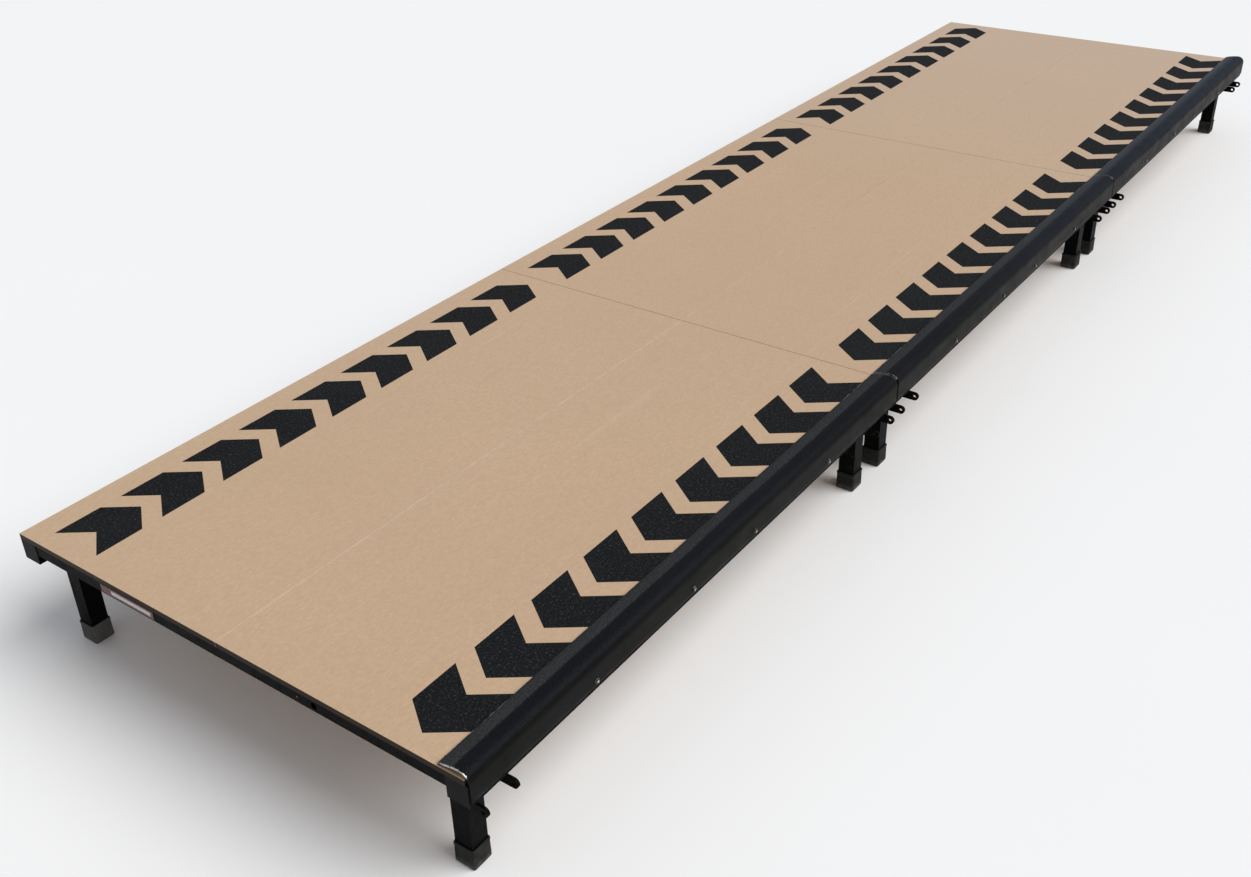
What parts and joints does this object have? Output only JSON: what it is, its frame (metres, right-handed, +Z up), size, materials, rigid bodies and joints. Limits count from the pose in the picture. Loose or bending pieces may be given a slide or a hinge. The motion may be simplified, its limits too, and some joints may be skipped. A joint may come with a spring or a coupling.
{
  "type": "stage riser platform",
  "caption": "Low modular platform with a tan composite deck, chevron grip rows, a rolled steel coping along the front edge and folding legs with rubber boots.",
  "frame": {"origin": "on the floor at the centre of the footprint", "axes": "+X along the length, -Y towards the coping side, +Z up"},
  "size_m": [3.658, 0.973, 0.2325],
  "materials": {
    "deck_board": "matt tan composite board",
    "coping_paint": "semi-gloss black powder coat",
    "frame_paint": "satin black powder coat",
    "leg_paint": "satin black powder coat, scuffed",
    "boot_rubber": "matt worn rubber",
    "cap_plastic": "matt black plastic",
    "zinc_steel": "zinc plated",
    "screw_steel": "zinc plated, scuffed",
    "grip_sheet": "coarse mineral grip",
    "label_print": "printed label, blank bands"
  },
  "bodies": {
    "platform": {"front_rail_1": "frame_paint", "back_rail_1": "frame_paint", "front_rail_2": "frame_paint", "back_rail_2": "frame_paint", "front_rail_3": "frame_paint", "back_rail_3": "frame_paint", "end_rail_1_left": "frame_paint", "end_rail_1_right": "frame_paint", "end_rail_2_left": "frame_paint", "end_rail_2_right": "frame_paint", "end_rail_3_left": "frame_paint", "end_rail_3_right": "frame_paint", "cross_members_1": "frame_paint", "cross_members_2": "frame_paint", "cross_members_3": "frame_paint", "seam_rail_1": "frame_paint", "seam_rail_2": "frame_paint", "seam_rail_3": "frame_paint", "deck_front_1": "deck_board", "deck_back_1": "deck_board", "deck_front_2": "deck_board", "deck_back_2": "deck_board", "deck_front_3": "deck_board", "deck_back_3": "deck_board", "coping_1": "coping_paint", "coping_2": "coping_paint", "coping_3": "coping_paint", "pivot_studs": "zinc_steel", "pin_lugs": "leg_paint", "coping_screws": "screw_steel", "joint_bolts": "zinc_steel", "rail_end_caps": "cap_plastic", "grip_front": "grip_sheet", "grip_back": "grip_sheet", "label_plate": "label_print"},
    "leg_set_1_front_left": {"leg_1_front_left": "leg_paint", "boot_1_front_left": "boot_rubber"},
    "leg_set_1_front_right": {"leg_1_front_right": "leg_paint", "boot_1_front_right": "boot_rubber"},
    "leg_set_1_back_left": {"leg_1_back_left": "leg_paint", "boot_1_back_left": "boot_rubber"},
    "leg_set_1_back_right": {"leg_1_back_right": "leg_paint", "boot_1_back_right": "boot_rubber"},
    "leg_set_2_front_left": {"leg_2_front_left": "leg_paint", "boot_2_front_left": "boot_rubber"},
    "leg_set_2_front_right": {"leg_2_front_right": "leg_paint", "boot_2_front_right": "boot_rubber"},
    "leg_set_2_back_left": {"leg_2_back_left": "leg_paint", "boot_2_back_left": "boot_rubber"},
    "leg_set_2_back_right": {"leg_2_back_right": "leg_paint", "boot_2_back_right": "boot_rubber"},
    "leg_set_3_front_left": {"leg_3_front_left": "leg_paint", "boot_3_front_left": "boot_rubber"},
    "leg_set_3_front_right": {"leg_3_front_right": "leg_paint", "boot_3_front_right": "boot_rubber"},
    "leg_set_3_back_left": {"leg_3_back_left": "leg_paint", "boot_3_back_left": "boot_rubber"},
    "leg_set_3_back_right": {"leg_3_back_right": "leg_paint", "boot_3_back_right": "boot_rubber"}
  },
  "joints": [
    {"name": "fold_1_front_left", "type": "hinge", "parent": "platform", "child": "leg_set_1_front_left", "pos_m": [-1.776, -0.4178, 0.191], "axis": [0, -1, 0], "range_deg": [0, 90]},
    {"name": "fold_1_front_right", "type": "hinge", "parent": "platform", "child": "leg_set_1_front_right", "pos_m": [-0.66333, -0.4178, 0.191], "axis": [0, 1, 0], "range_deg": [0, 90]},
    {"name": "fold_1_back_left", "type": "hinge", "parent": "platform", "child": "leg_set_1_back_left", "pos_m": [-1.776, 0.4285, 0.191], "axis": [0, -1, 0], "range_deg": [0, 90]},
    {"name": "fold_1_back_right", "type": "hinge", "parent": "platform", "child": "leg_set_1_back_right", "pos_m": [-0.66333, 0.4285, 0.191], "axis": [0, 1, 0], "range_deg": [0, 90]},
    {"name": "fold_2_front_left", "type": "hinge", "parent": "platform", "child": "leg_set_2_front_left", "pos_m": [-0.55633, -0.4178, 0.191], "axis": [0, -1, 0], "range_deg": [0, 90]},
    {"name": "fold_2_front_right", "type": "hinge", "parent": "platform", "child": "leg_set_2_front_right", "pos_m": [0.55633, -0.4178, 0.191], "axis": [0, 1, 0], "range_deg": [0, 90]},
    {"name": "fold_2_back_left", "type": "hinge", "parent": "platform", "child": "leg_set_2_back_left", "pos_m": [-0.55633, 0.4285, 0.191], "axis": [0, -1, 0], "range_deg": [0, 90]},
    {"name": "fold_2_back_right", "type": "hinge", "parent": "platform", "child": "leg_set_2_back_right", "pos_m": [0.55633, 0.4285, 0.191], "axis": [0, 1, 0], "range_deg": [0, 90]},
    {"name": "fold_3_front_left", "type": "hinge", "parent": "platform", "child": "leg_set_3_front_left", "pos_m": [0.66333, -0.4178, 0.191], "axis": [0, -1, 0], "range_deg": [0, 90]},
    {"name": "fold_3_front_right", "type": "hinge", "parent": "platform", "child": "leg_set_3_front_right", "pos_m": [1.776, -0.4178, 0.191], "axis": [0, 1, 0], "range_deg": [0, 90]},
    {"name": "fold_3_back_left", "type": "hinge", "parent": "platform", "child": "leg_set_3_back_left", "pos_m": [0.66333, 0.4285, 0.191], "axis": [0, -1, 0], "range_deg": [0, 90]},
    {"name": "fold_3_back_right", "type": "hinge", "parent": "platform", "child": "leg_set_3_back_right", "pos_m": [1.776, 0.4285, 0.191], "axis": [0, 1, 0], "range_deg": [0, 90]}
  ]
}
